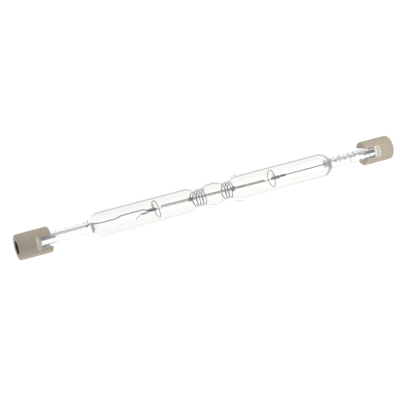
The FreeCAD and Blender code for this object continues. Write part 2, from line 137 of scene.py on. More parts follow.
# Supports: close turns on the coil or the lead, then loops in a neck or a ring in the tube
SUPPORT_WIRE = 0.24 * MM
SUPPORT_PITCH = 0.97 * MM
LEFT_SUPPORT_TURNS = 4.0
RIGHT_SUPPORT_TURNS = 3.0
SUPPORT_CLEARANCE = 0.08 * MM
SPIRAL_TURNS = 0.5
COLLAR_LENGTH = 0.9 * MM
CLOSE_GAP = 0.12 * MM
CLOSE_PITCH = SUPPORT_WIRE + CLOSE_GAP
LEFT_RING = -18.25 * MM
RIGHT_RING = 18.75 * MM
RING_RADIUS = 2.48 * MM
RING_TURNS = 1.1
LEFT_RING_LIFT = 0.16 * MM
RIGHT_RING_LIFT = 0.1 * MM
LEFT_RING_LEAN = math.radians(6.5)
RIGHT_RING_LEAN = math.radians(-4.0)
SPOKE_ANGLE = math.radians(270.0)
SPOKE_BEND = 0.25 * MM
SPOKE_STEPS = 5
GRIP_LAP = 0.25 * MM
GRIP_LENGTH = 2.6 * MM
GRIP_CLEARANCE = 0.02 * MM
LEFT_GRIP_LIFT = 0.32 * MM
LEFT_GRIP = LEFT_RING + GRIP_LAP
RIGHT_GRIP = RIGHT_RING - GRIP_LAP
LEFT_MOUTH = LEFT_GRIP - GRIP_LENGTH - SUPPORT_WIRE
RIGHT_MOUTH = RIGHT_GRIP + GRIP_LENGTH + SUPPORT_WIRE

# Bends of the left inner lead
LEAD_BEND = 0.7 * MM
LEAD_KNEE = 2.2 * MM
LEAD_LOW_RUN = 5.0 * MM
LEAD_STEP = 2.4 * MM
LEAD_FALL = 0.8 * MM
LEAD_LIFT = 0.42 * MM
LEAD_CREST = 0.92 * MM

# Colours, each from its dark to its light end
BUFF = ((0.50, 0.435, 0.34), (0.57, 0.50, 0.40))
# Painted highlight along the caps' rounded edges, and near white at the foot of the slot
EDGE_HIGHLIGHT_BUFF = ((0.50, 0.44, 0.35), (0.62, 0.55, 0.45))
FOOT_HIGHLIGHT_WHITE = ((0.84, 0.80, 0.74), (0.95, 0.92, 0.88))
# Painted shade inside the contact recess
RECESS_SHADE_BROWN = ((0.075, 0.05, 0.025), (0.16, 0.115, 0.07))
# Cement-smeared slot walls, painted lighter to stand in for light where the narrow slot is in shade
LIME_AND_LIGHT_WHITE = ((0.74, 0.71, 0.65), (0.90, 0.88, 0.83))
CEMENT_WHITE = ((0.76, 0.73, 0.67), (0.92, 0.90, 0.85))
# Nickel contact painted dark brown as shade at the bottom of its recess
NICKEL_SHADE_BROWN = ((0.12, 0.085, 0.05), (0.22, 0.165, 0.11))
FOIL_GREY = ((0.82, 0.81, 0.88), (0.94, 0.93, 0.98))
VIOLET_GREY = ((0.78, 0.76, 0.83), (0.94, 0.92, 0.97))
DRAWN_GREY = ((0.26, 0.26, 0.27), (0.44, 0.44, 0.45))
WETTED_GREY = ((0.76, 0.75, 0.82), (0.90, 0.89, 0.95))
COIL_GREY = ((0.18, 0.18, 0.17), (0.38, 0.375, 0.36))
SUPPORT_GREY = ((0.36, 0.36, 0.35), (0.62, 0.615, 0.60))
WHITE = (1.0, 1.0, 1.0, 1.0)

# Finishes: the share of the noise over which a colour changes, and the roughness of the noise itself
COLOUR_REACH = (0.3, 0.7)
NOISE_ROUGHNESS = 0.55
QUARTZ_IOR = 1.458

# Colour sockets of a mix node, which share their names with its other sockets
MIX_FIRST = 6
MIX_SECOND = 7
MIX_RESULT = 2

# Camera: the lamp's axis leans away to the right and rises across the picture
PICTURE_SIDE = 400
SENSOR_WIDTH = 36.0
FOCAL_PIXELS = 1142.0
CLIP_START = 1.0 * MM
CAMERA_DISTANCE = 326.5 * MM
AXIS_LEAN = math.radians(20.8)
AXIS_RISE = math.radians(14.97)
SEAL_TURN = math.radians(9.0)
CENTRE_PIXEL = (214.06, 194.20)

# Table: its glow under the lamp fades out behind it and at both ends, so that the glass gets dark edges
FLOOR_DROP = 80.0 * MM
FLOOR_SIZE = 4.0
FLOOR_COLOUR = (0.02, 0.02, 0.02, 1.0)
FLOOR_WHITE = 1.03
FLOOR_DIM = 0.5
GLOW_COLOUR = (1.0, 0.995, 0.975, 1.0)
GLOW_BACK = (42.0 * MM, 60.0 * MM)
GLOW_FRONT = (150.0 * MM, 190.0 * MM)
GLOW_SIDE = (105.0 * MM, 145.0 * MM)
GLOW_SPAN = (0.0, 55.0 * MM)
GLOW_LEVELS = (0.93, 1.0)

# Sky: the glass sees it graded and tipped to the front, and matt surfaces see it brighter at both sides
SKY_LEVELS = (0.02, 0.96)
SKY_GREYS = ((0.05, 0.05, 0.05), (0.85, 0.85, 0.85))
SKY_RANGE = (-0.1, 0.6)
SKY_TIP = math.radians(25.0)

# Soft boxes, each aimed at the mouth of one cap
BOX_LENGTH = 240.0 * MM
BOX_HEIGHT = 90.0 * MM
LEFT_AIM = (-CAP_INNER, 0.0, 0.0)
RIGHT_AIM = (CAP_INNER, 0.0, 0.0)
RIGHT_BOX_PLACE = (50.0 * MM, 0.0, 75.0 * MM)
RIGHT_BOX_POWER = 0.07
BACK_BOX_PLACE = (-60.0 * MM, 130.0 * MM, 60.0 * MM)
BACK_BOX_POWER = 0.035
FRONT_BOX_PLACE = (-110.0 * MM, -130.0 * MM, 5.0 * MM)
FRONT_BOX_POWER = 0.08
LIGHT_BOUNCES = 40


# Shader nodes: the owner of a node is a material or the world
def feed(owner, node, inputs):
    """Give a node's inputs, by name or number, another node's output or a constant."""
    for key, source in inputs.items():
        if isinstance(source, bpy.types.NodeSocket):
            owner.node_tree.links.new(source, node.inputs[key])
        else:
            node.inputs[key].default_value = source


def add_node(owner, kind, inputs=None, **settings):
    """A new node with its settings made and its inputs fed."""
    node = owner.node_tree.nodes.new(kind)
    for key, value in settings.items():
        setattr(node, key, value)
    feed(owner, node, inputs or {})
    return node


def arithmetic(owner, operation, first, second=0.0):
    """A sum done on one or two sockets or numbers."""
    node = add_node(owner, "ShaderNodeMath", {0: first, 1: second}, operation=operation)
    return node.outputs["Value"]


def coordinate(owner, axis, space="Object"):
    """One coordinate of the place that is shaded."""
    place = add_node(owner, "ShaderNodeTexCoord")
    split = add_node(owner, "ShaderNodeSeparateXYZ", {"Vector": place.outputs[space]})
    return split.outputs[axis]


def value_between(owner, factor, levels, reach=(0.0, 1.0), curve="LINEAR"):
    """A number that goes from one level to another while a factor crosses a reach."""
    ends = {"From Min": reach[0], "From Max": reach[1], "To Min": levels[0], "To Max": levels[1]}
    span = add_node(owner, "ShaderNodeMapRange", {"Value": factor, **ends}, interpolation_type=curve)
    return span.outputs["Result"]


def colour_between(owner, factor, colours, reach=COLOUR_REACH):
    """A colour that goes from dark to light while a factor crosses a reach."""
    ramp = add_node(owner, "ShaderNodeValToRGB", {"Fac": factor})
    for element, position, colour in zip(ramp.color_ramp.elements, reach, colours):
        element.position = position
        element.color = (*colour, 1.0)
    return ramp.outputs["Color"]


def blended(owner, share, first, second):
    """A colour that goes from the first to the second as a share rises."""
    inputs = {"Factor": share, MIX_FIRST: first, MIX_SECOND: second}
    mix = add_node(owner, "ShaderNodeMix", inputs, data_type="RGBA")
    return mix.outputs[MIX_RESULT]


def place_noise(material, scale, along=1.0, detail=4.0):
    """Noise fixed to the object's own place; a scale along X under 1 draws it out along the lamp."""
    place = add_node(material, "ShaderNodeTexCoord")
    shares = (along, 1.0, 1.0)
    mapping = add_node(material, "ShaderNodeMapping", {"Vector": place.outputs["Object"], "Scale": shares})
    grain = {"Scale": scale, "Detail": detail, "Roughness": NOISE_ROUGHNESS}
    noise = add_node(material, "ShaderNodeTexNoise", {"Vector": mapping.outputs["Vector"], **grain})
    return noise.outputs["Fac"]


def along_lamp(material, start, end):
    """A share that rises smoothly from 0 to 1 between two distances from the middle of the lamp."""
    distance = arithmetic(material, "ABSOLUTE", coordinate(material, "X"))
    return value_between(material, distance, (0.0, 1.0), (start, end), "SMOOTHSTEP")


def bump(material, shader, height, strength, depth):
    """Relief from a height on a shader's normal."""
    relief = add_node(material, "ShaderNodeBump", {"Height": height, "Strength": strength, "Distance": depth})
    feed(material, shader, {"Normal": relief.outputs["Normal"]})


# Materials
def node_material(name):
    """A new node material and its shader."""
    material = bpy.data.materials.new(name)
    material.use_nodes = True
    return material, material.node_tree.nodes["Principled BSDF"]


def matt_material(name, colours, scale, roughness, strength, depth):
    """A matt material whose grain gives its shades and its relief."""
    material, shader = node_material(name)
    grain = place_noise(material, scale, detail=5.0)
    feed(material, shader, {"Base Color": colour_between(material, grain, colours), "Roughness": roughness})
    bump(material, shader, grain, strength, depth)
    return material


def metal_material(name, colours, metallic, roughness, relief=None, **noise):
    """Metal whose grain gives its shades, its polish and any relief, which is a strength and a depth."""
    material, shader = node_material(name)
    grain = place_noise(material, **noise)
    feed(material, shader, {
        "Base Color": colour_between(material, grain, colours),
        "Metallic": metallic,
        "Roughness": value_between(material, grain, roughness),
    })
    if relief:
        bump(material, shader, grain, *relief)
    return material


def quartz_material():
    """Clear fused quartz with faint drawing lines along the tube."""
    material, shader = node_material("clear_quartz")
    feed(material, shader, {
        "Base Color": WHITE,
        "Roughness": 0.0,
        "IOR": QUARTZ_IOR,
        "Transmission Weight": 1.0,
    })
    lines = place_noise(material, scale=900.0, along=0.08, detail=2.0)
    bump(material, shader, lines, strength=1.0, depth=LINE_HEIGHT)
    return material


def steatite_material():
    """Fired steatite: buff, matt, with fine mottling and pores."""
    material, shader = node_material("buff_steatite")
    mottle = place_noise(material, scale=1400.0, detail=6.0)
    pores = place_noise(material, scale=5200.0, detail=3.0)
    feed(material, shader, {
        "Base Color": colour_between(material, mottle, BUFF),
        "Roughness": value_between(material, mottle, (0.5, 0.75)),
    })
    bump(material, shader, pores, strength=0.25, depth=0.02 * MM)
    return material


def edge_highlight_steatite_material():
    """Steatite along the rounded edges, painted a little lighter as a highlight, and near white as a painted
    highlight at the foot of the slot.
    """
    material, shader = node_material("edge_highlight_steatite")
    grain = place_noise(material, scale=3000.0)
    slot_end = CAP_INNER + SLOT_DEPTH
    foot = along_lamp(material, slot_end - 2 * SLOT_EDGE, slot_end - SLOT_EDGE)
    side = colour_between(material, grain, EDGE_HIGHLIGHT_BUFF)
    foot_highlight = colour_between(material, grain, FOOT_HIGHLIGHT_WHITE)
    feed(material, shader, {"Base Color": blended(material, foot, side, foot_highlight), "Roughness": 0.8})
    bump(material, shader, grain, strength=0.3, depth=0.03 * MM)
    return material


def recess_shade_steatite_material():
    """Steatite inside the contact recess, painted dark brown as the recess's shade."""
    return matt_material(
        "recess_shade_steatite", RECESS_SHADE_BROWN, scale=1800.0, roughness=0.7, strength=0.2, depth=0.02 * MM
    )


def limed_and_lit_steatite_material():
    """Steatite inside the slot, smeared with cement, and painted lighter to stand in for light where the
    narrow slot is in shade.
    """
    return matt_material(
        "limed_and_lit_steatite", LIME_AND_LIGHT_WHITE, scale=900.0, roughness=0.85, strength=0.3, depth=0.03 * MM
    )


def cement_material():
    """Set cement: off-white and grainy."""
    return matt_material(
        "white_cement", CEMENT_WHITE, scale=3600.0, roughness=0.9, strength=0.6, depth=0.06 * MM
    )


def nickel_material():
    """Turned nickel contact face, painted dark brown as shade at the bottom of its recess."""
    return metal_material(
        "turned_nickel",
        NICKEL_SHADE_BROWN,
        metallic=1.0,
        roughness=(0.28, 0.5),
        relief=(0.2, 0.02 * MM),
        scale=2600.0,
        along=0.2,
        detail=3.0,
    )


def foil_material():
    """Rolled foil: bright, faintly violet, with lines along its length."""
    return metal_material(
        "rolled_molybdenum",
        FOIL_GREY,
        metallic=0.5,
        roughness=(0.25, 0.4),
        scale=5000.0,
        along=0.05,
        detail=3.0,
    )


def outer_lead_material():
    """Outer lead: violet grey and dull from the heat of the pinching."""
    return metal_material(
        "heated_molybdenum",
        VIOLET_GREY,
        metallic=0.0,
        roughness=(0.3, 0.5),
        scale=1500.0,
        along=0.4,
    )


def lead_material():
    """Drawn inner lead: mid grey with lines along its length, and bright where the glass wets it."""
    material, shader = node_material("drawn_molybdenum")
    streaks = place_noise(material, scale=5000.0, along=0.05, detail=3.0)
    bare = colour_between(material, streaks, DRAWN_GREY)
    wetted = colour_between(material, streaks, WETTED_GREY)
    sealed = along_lamp(material, CAVITY_END - WALL, CAVITY_END)
    feed(material, shader, {
        "Base Color": blended(material, sealed, bare, wetted),
        "Metallic": arithmetic(material, "SUBTRACT", 1.0, sealed),
        "Roughness": value_between(material, streaks, (0.3, 0.5)),
    })
    return material


def tungsten_material(name, colours):
    """Tungsten wire with a fine grain, between a dark and a light grey."""
    return metal_material(
        name, colours, metallic=1.0, roughness=(0.35, 0.6), relief=(0.3, 0.01 * MM), scale=6500.0
    )


QUARTZ = quartz_material()
STEATITE = steatite_material()
EDGE_HIGHLIGHT_STEATITE = edge_highlight_steatite_material()
RECESS_SHADE_STEATITE = recess_shade_steatite_material()
LIMED_AND_LIT_STEATITE = limed_and_lit_steatite_material()
CAP_FINISHES = [STEATITE, EDGE_HIGHLIGHT_STEATITE, RECESS_SHADE_STEATITE, LIMED_AND_LIT_STEATITE]
CEMENT = cement_material()
NICKEL = nickel_material()
FOIL = foil_material()
OUTER_LEAD = outer_lead_material()
LEAD = lead_material()
COIL_TUNGSTEN = tungsten_material("coil_tungsten", COIL_GREY)
SUPPORT_TUNGSTEN = tungsten_material("support_tungsten", SUPPORT_GREY)


# Meshes
def skin(rings, start=0):
    """Faces between neighbouring rings of points, numbered from start; a ring of one point closes an end."""
    points = [point for ring in rings for point in ring]
    firsts = []
    count = start
    for ring in rings:
        firsts.append(count)
        count += len(ring)
    faces = []
    for number in range(len(rings) - 1):
        near, far = firsts[number], firsts[number + 1]
        near_size, far_size = len(rings[number]), len(rings[number + 1])
        size = max(near_size, far_size)
        for side in range(size):
            after = (side + 1) % size
            if near_size == 1:
                faces.append((near, far + after, far + side))
            elif far_size == 1:
                faces.append((near + side, near + after, far))
            else:
                faces.append((near + side, near + after, far + after, far + side))
    return points, faces


def flipped(faces):
    """The same faces, facing the other way."""
    return [tuple(reversed(face)) for face in faces]


def mesh_object(name, points, faces, material):
    """A smooth mesh in the scene."""
    mesh = bpy.data.meshes.new(name)
    mesh.from_pydata(points, [], faces)
    mesh.validate()
    mesh.update()
    mesh.shade_smooth()
    mesh.materials.append(material)
    made = bpy.data.objects.new(name, mesh)
    bpy.context.scene.collection.objects.link(made)
    return made


def stand_in(made, node):
    """The mesh stands for a node of the frame."""
    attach(made, BODY)
    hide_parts(node)


# Curves and outlines
def ease(share):
    """Smooth rise from 0 to 1."""
    share = min(1.0, max(0.0, share))
    return share * share * (3.0 - 2.0 * share)


def between(ends, share):
    """The value at a share of the way from one end to the other."""
    return ends[0] + (ends[1] - ends[0]) * share


def even(start, end, step):
    """Even stations past a start, up to and with an end, about a step apart."""
    count = round((end - start) / step)
    return [start + (end - start) * number / count for number in range(1, count + 1)]


def around(segments):
    """Even angles round a circle."""
    return [2 * math.pi * side / segments for side in range(segments)]


def quarter(steps):
    """Even angles over a quarter turn, with both its ends."""
    return [math.pi / 2 * step / steps for step in range(steps + 1)]


def rounding(radius):
    """Set-backs of a rounded edge: the first grows from 0 to the radius while the second shrinks to 0."""
    swings = quarter(EDGE_STEPS)
    return [(radius * (1.0 - math.cos(swing)), radius * (1.0 - math.sin(swing))) for swing in swings]


def turned(profile, swings):
    """Rings of a form turned round X from (x, radius) pairs; a radius of 0 is a single point."""
    rings = []
    for x, radius in profile:
        if radius == 0.0:
            rings.append([Vector((x, 0.0, 0.0))])
            continue
        rings.append([Vector((x, radius * math.cos(swing), radius * math.sin(swing))) for swing in swings])
    return rings


# Quartz envelope: necked tube with domed ends, flowing into a pinch seal at each end
def tube_radius(x, inset):
    """Radius of the tube at a station, with its wall set in by inset."""
    bulb = TUBE_RADIUS - inset
    past_shoulder = abs(x) - DOME_CENTRE
    if past_shoulder > 0.0:
        return math.sqrt(max(0.0, bulb * bulb - past_shoulder * past_shoulder))
    middle = (LEFT_NECK + RIGHT_NECK) / 2
    reach = abs(x - middle)
    neck = RIGHT_NECK - middle
    if reach > neck:
        depth = NECK_DEPTH * (1.0 - ease((reach - neck - NECK_LAND / 2) / NECK_SHOULDER))
    else:
        fall = ease((reach - MIDDLE_LAND / 2) / (neck - NECK_LAND / 2 - MIDDLE_LAND / 2))
        depth = between((MIDDLE_DEPTH, NECK_DEPTH), fall)
    return bulb - depth


def pinch_radius(swing):
    """Distance from the axis to the pinch's dog-bone section, at an angle from Z."""
    rail = PINCH_THICKNESS / 2
    rail_centre = PINCH_WIDTH / 2 - rail
    half_web = PINCH_WEB / 2
    foot = rail_centre - math.sqrt(rail * rail - half_web * half_web)
    across = abs(math.sin(swing))
    along = abs(math.cos(swing))
    if across * foot > along * half_web:
        return half_web / across
    chord = rail * rail - (rail_centre * across) ** 2
    return rail_centre * along + math.sqrt(max(0.0, chord))


def smooth_max(a, b, blend):
    """The greater of two lengths, with the corner between them rounded over a blend."""
    return max(a, b) + max(0.0, blend - abs(a - b)) ** 2 / (4.0 * blend)


def ripple(x, swing):
    """Waves that the pinching leaves on a seal, up to the mouth of its cap."""
    share = ease((abs(x) - CAVITY_END) / PINCH_BLEND) * ease((CAP_INNER - abs(x)) / PINCH_BLEND)
    long_wave = math.sin(2 * math.pi * x / LONG_RIPPLE + RIPPLE_SWAY * math.sin(LONG_SWAYS * swing))
    short_wave = math.sin(2 * math.pi * x / SHORT_RIPPLE + RIPPLE_SWAY * math.cos(SHORT_SWAYS * swing))
    return RIPPLE_HEIGHT * share * (long_wave + short_wave)


def glass_stations():
    """Stations from end to end of the envelope, closer together where it curves."""
    dome = [DOME_CENTRE + TUBE_RADIUS * math.sin(swing) for swing in quarter(DOME_STEPS)]
    tube = even(0.0, DOME_CENTRE, GLASS_STEP)[:-1]
    seal = even(dome[-1], PINCH_END - PINCH_EDGE, SEAL_STEP)
    half = tube + dome + seal
    return [-x for x in reversed(half)] + [0.0] + half


def glass_ring(x, inset):
    """Section of the envelope at a station, with its edge set in."""
    ring = []
    round_part = tube_radius(x, 0.0)
    for swing in around(GLASS_SEGMENTS):
        reach = round_part
        if abs(x) > DOME_CENTRE:
            reach = smooth_max(round_part, pinch_radius(swing), PINCH_BLEND) + ripple(x, swing)
        reach -= inset
        ring.append(Vector((x, reach * math.sin(swing), reach * math.cos(swing))))
    return ring


def glass_outside(stations):
    """Rings of the outer surface, from the end of one seal to the end of the other."""
    edge = [(PINCH_END - shrinking, growing) for growing, shrinking in rounding(PINCH_EDGE)[1:]]
    rings = [[Vector((-PINCH_END, 0.0, 0.0))]]
    rings += [glass_ring(-x, inset) for x, inset in reversed(edge)]
    rings += [glass_ring(x, 0.0) for x in stations]
    rings += [glass_ring(x, inset) for x, inset in edge]
    rings.append([Vector((PINCH_END, 0.0, 0.0))])
    return rings


def glass_cavity(stations):
    """Rings of the sealed room inside the tube."""
    swings = quarter(DOME_STEPS)[:-1]
    dome = [
        (DOME_CENTRE + CAVITY_RADIUS * math.sin(swing), CAVITY_RADIUS * math.cos(swing)) for swing in swings
    ]
    dome.append((CAVITY_END, 0.0))
    profile = [(-x, radius) for x, radius in reversed(dome)]
    profile += [(x, tube_radius(x, WALL)) for x in stations if abs(x) < DOME_CENTRE]
    profile += dome
    return turned(profile, around(GLASS_SEGMENTS))


def quartz_envelope():
    """The glass, one piece with an outside and a cavity; it is clear, so it casts no shadow."""
    stations = glass_stations()
    points, faces = skin(glass_outside(stations))
    cavity_points, cavity_faces = skin(glass_cavity(stations), len(points))
    made = mesh_object("quartz_glass", points + cavity_points, flipped(faces + cavity_faces), QUARTZ)
    made.visible_shadow = False
    stand_in(made, "quartz_envelope")


# Caps: turned blank with a rounded rim, slotted across for the seal and bored for the contact
def cap_swings():
    """Angles round the cap, without those that lie along the slot's edges."""
    edge = math.acos(SLOT_WIDTH / 2 / CAP_RADIUS)
    reach = math.pi / CAP_SEGMENTS
    kept = []
    for swing in around(CAP_SEGMENTS):
        from_y = math.acos(abs(math.cos(swing)))
        if abs(from_y - edge) > reach:
            kept.append(swing)
    return kept


def cap_blank():
    """The cap before it is cut, with room for every finish."""
    rim = [(CAP_OUTER - growing, CAP_RADIUS - shrinking) for growing, shrinking in rounding(RIM_RADIUS)]
    profile = [(CAP_OUTER, 0.0)] + rim + [(CAP_INNER, CAP_RADIUS), (CAP_INNER, 0.0)]
    points, faces = skin(turned(profile, cap_swings()))
    made = mesh_object("cap_blank", points, faces, STEATITE)
    for finish in CAP_FINISHES[1:]:
        made.data.materials.append(finish)
    return made


def recess_cutter():
    """The contact's room: its seat, then the open recess with a softened mouth."""
    mouth = [(CAP_OUTER - shrinking, RECESS_RADIUS + growing) for growing, shrinking in rounding(RECESS_EDGE)]
    seat = CONTACT_RADIUS + SEAT_CLEARANCE
    outside = CAP_OUTER + RECESS_EDGE
    profile = [(CONTACT_BACK, 0.0), (CONTACT_BACK, seat), (CONTACT_FACE, seat), (CONTACT_FACE, RECESS_RADIUS)]
    profile += mouth + [(outside, RECESS_RADIUS + RECESS_EDGE), (outside, 0.0)]
    points, faces = skin(turned(profile, around(CAP_SEGMENTS)))
    made = mesh_object("recess_cutter", points, faces, STEATITE)
    for face in made.data.polygons:
        # Faces inside the recess get the painted shade
        if math.hypot(face.center.y, face.center.z) < RECESS_RADIUS:
            face.material_index = CAP_FINISHES.index(RECESS_SHADE_STEATITE)
    return made


def slot_cutter():
    """The slot's room: a bar across the cap with rounded corners at its closed end."""
    half = SLOT_WIDTH / 2
    end = CAP_INNER + SLOT_DEPTH
    mouth = CAP_INNER - SLOT_DEPTH
    corner = [(end - shrinking, half - growing) for growing, shrinking in rounding(SLOT_CORNER)]
    outline = [(mouth, half), (mouth, -half)] + [(x, -y) for x, y in corner] + corner[::-1]
    low, high = -2 * CAP_RADIUS, 2 * CAP_RADIUS
    middle = (end + mouth) / 2
    rings = [[Vector((middle, 0.0, low))]]
    rings += [[Vector((x, y, z)) for x, y in outline] for z in (low, high)]
    rings.append([Vector((middle, 0.0, high))])
    points, faces = skin(rings)
    made = mesh_object("slot_cutter", points, faces, STEATITE)
    for face in made.data.polygons:
        # The slot's walls get the cement white with painted light
        face.material_index = CAP_FINISHES.index(LIMED_AND_LIT_STEATITE)
    return made


def hole_cutter():
    """The outer lead's room, on the lamp's axis."""
    profile = [(CAP_INNER, 0.0), (CAP_INNER, LEAD_HOLE_RADIUS)]
    profile += [(CONTACT_FACE, LEAD_HOLE_RADIUS), (CONTACT_FACE, 0.0)]
    points, faces = skin(turned(profile, around(CAP_SEGMENTS)))
    points = [point - Vector((0.0, CAP_SHIFT, 0.0)) for point in points]
    return mesh_object("hole_cutter", points, faces, STEATITE)


def outward(made):
    """Turn every face of a closed mesh to face out."""
    work = bmesh.new()
    work.from_mesh(made.data)
    bmesh.ops.recalc_face_normals(work, faces=work.faces)
    work.to_mesh(made.data)
    work.free()
    return made


def cut(blank, cutter):
    """Take a cutter's room out of a blank."""
    taken = blank.modifiers.new(cutter.name, "BOOLEAN")
    taken.operation = "DIFFERENCE"
    taken.solver = "EXACT"
    taken.object = cutter


def soften(blank):
    """Round the sharp edges of a blank and give them the painted edge highlight."""
    edges = blank.modifiers.new("soft_edges", "BEVEL")
    edges.width = SLOT_EDGE
    edges.segments = BEVEL_SEGMENTS
    edges.limit_method = "ANGLE"
    edges.angle_limit = SHARP_ANGLE
    # The rounded edges get the painted highlight
    edges.material = CAP_FINISHES.index(EDGE_HIGHLIGHT_STEATITE)
    edges.use_clamp_overlap = False


def slotted_cap_mesh():
    """The blank with its slot, then soft edges, then the contact's recess and the lead's hole."""
    blank = outward(cap_blank())
    slot = outward(slot_cutter())
    recess = outward(recess_cutter())
    hole = outward(hole_cutter())
    cut(blank, slot)
    soften(blank)
    cut(blank, recess)
    cut(blank, hole)
    graph = bpy.context.evaluated_depsgraph_get()
    mesh = bpy.data.meshes.new_from_object(blank.evaluated_get(graph))
    for scratch in (blank, slot, recess, hole):
        bpy.data.objects.remove(scratch)
    return mesh


def cap(name, mesh, half_turn):
    """A cap set off to one side of the seal, at one end of the lamp."""
    shape = mesh.copy()
    shape.transform(Matrix.Rotation(half_turn, 4, "Z") @ Matrix.Translation((0.0, CAP_SHIFT, 0.0)))
    shape.shade_smooth()
    shape.set_sharp_from_angle(angle=SHARP_ANGLE)
    made = bpy.data.objects.new(f"{name}_ceramic", shape)
    bpy.context.scene.collection.objects.link(made)
    stand_in(made, name)


def caps():
    """The same cap at both ends, turned end for end."""
    mesh = slotted_cap_mesh()
    cap("right_cap", mesh, 0.0)
    cap("left_cap", mesh, math.pi)


# Wires: a round section carried along a path
def swept(path, radius):
    """Points and faces of a round wire along a path, with rounded-off ends."""
    runs = [(b - a).normalized() for a, b in zip(path, path[1:])]
    tangents = [runs[0]] + [(a + b).normalized() for a, b in zip(runs, runs[1:])] + [runs[-1]]
    side = tangents[0].orthogonal().normalized()
    rings = [[path[0] - tangents[0] * radius * END_BULGE]]
    for point, tangent in zip(path, tangents):
        side = (side - tangent * side.dot(tangent)).normalized()
        rise = tangent.cross(side)
        ring = []
        for swing in around(WIRE_SIDES):
            ring.append(point + (side * math.cos(swing) + rise * math.sin(swing)) * radius)
        rings.append(ring)
    rings.append([path[-1] + tangents[-1] * radius * END_BULGE])
    return skin(rings)


def wire(name, node, path, diameter, material):
    """A wire that stands for a node of the frame."""
    points, faces = swept(path, diameter / 2)
    stand_in(mesh_object(name, points, faces, material), node)


def winding(x, radius, turns, angle=0.0, y=(0.0, 0.0)):
    """Points of a wire wound round the X axis; x, radius and y run from their first value to their second."""
    count = round(turns * STEPS_PER_TURN)
    points = []
    for step in range(count + 1):
        share = step / count
        swing = angle + 2 * math.pi * turns * share
        reach = between(radius, share)
        across = between(y, share) + reach * math.cos(swing)
        points.append(Vector((between(x, share), across, reach * math.sin(swing))))
    return points


def eased(path, reach):
    """The path with every corner rounded over a reach on both sides."""
    points = [path[0]]
    for before, corner, after in zip(path, path[1:], path[2:]):
        back = before - corner
        ahead = after - corner
        start = corner + back.normalized() * min(reach, back.length / 2)
        end = corner + ahead.normalized() * min(reach, ahead.length / 2)
        for step in range(BEND_STEPS + 1):
            share = step / BEND_STEPS
            near, far = start.lerp(corner, share), corner.lerp(end, share)
            point = near.lerp(far, share)
            if (point - points[-1]).length > LEAST_STEP:
                points.append(point)
    points.append(path[-1])
    return points


def beside(lead_y):
    """Height of a filament leg that lies against its lead."""
    return lead_y - LEAD_RADIUS - GRIP_CLEARANCE - FILAMENT_WIRE / 2


def filament():
    """A wound tail and a leg at each end, and the close coil between."""
    left_leg = beside(LEFT_GRIP_LIFT)
    right_leg = beside(RIGHT_LEAD_Y)
    tail_y = left_leg - TAIL_DIP
    tail_end = LEFT_MOUTH - TAIL_LENGTH
    tail_turns = round(TAIL_LENGTH / TAIL_PITCH)
    coil_turns = round((COIL_END - COIL_START) / COIL_PITCH)
    wrap_radius = LEAD_RADIUS + GRIP_CLEARANCE + FILAMENT_WIRE / 2
    path = [Vector((tail_end - LEFT_TAIL, tail_y - LEFT_TAIL_DROP, 0.0))]
    path += winding(
        (tail_end, LEFT_MOUTH),
        (TAIL_RADIUS, TAIL_RADIUS),
        tail_turns,
        TAIL_ANGLE,
        (tail_y - TAIL_RADIUS, left_leg - TAIL_RADIUS),
    )
    path.append(Vector(((LEFT_GRIP + COIL_START) / 2, left_leg, 0.0)))
    path += winding((COIL_START, COIL_END), (COIL_RADIUS, COIL_RADIUS), coil_turns, COIL_ANGLE, COIL_LIFT)
    path.append(Vector(((RIGHT_GRIP + COIL_END) / 2, right_leg, 0.0)))
    path.append(Vector((RIGHT_GRIP + GRIP_LENGTH, right_leg, 0.0)))
    path += winding(
        (RIGHT_MOUTH, RIGHT_MOUTH + TAIL_LENGTH),
        (wrap_radius, wrap_radius),
        tail_turns,
        COIL_ANGLE,
        (RIGHT_LEAD_Y, RIGHT_LEAD_Y),
    )
    wire("filament_coil", "filament", path, FILAMENT_WIRE, COIL_TUNGSTEN)


def end_support_path(lead_y, ring_y, lean):
    """Close turns that bind lead and leg, then a spoke out to a ring that stands inside the tube."""
    lead_high = lead_y + LEAD_RADIUS
    bound_low = beside(lead_y) - FILAMENT_WIRE / 2
    grip_radius = (lead_high - bound_low) / 2 + GRIP_CLEARANCE + SUPPORT_WIRE / 2
    grip_y = (lead_high + bound_low) / 2
    grip_turns = GRIP_LENGTH / CLOSE_PITCH
    grip = winding(
        (GRIP_LAP - GRIP_LENGTH, GRIP_LAP),
        (grip_radius, grip_radius),
        grip_turns,
        SPOKE_ANGLE - 2 * math.pi * grip_turns,
        (grip_y, grip_y),
    )
    ring = winding(
        (0.0, CLOSE_PITCH * RING_TURNS), (RING_RADIUS, RING_RADIUS), RING_TURNS, SPOKE_ANGLE, (ring_y, ring_y)
    )
    ring = [point - Vector((point.y * math.tan(lean), 0.0, 0.0)) for point in ring]
    bound = grip[:-SPOKE_STEPS]
    spoke = eased([bound[-1], grip[-1], ring[0], ring[1]], SPOKE_BEND)
    return bound[:-1] + spoke + ring[2:]


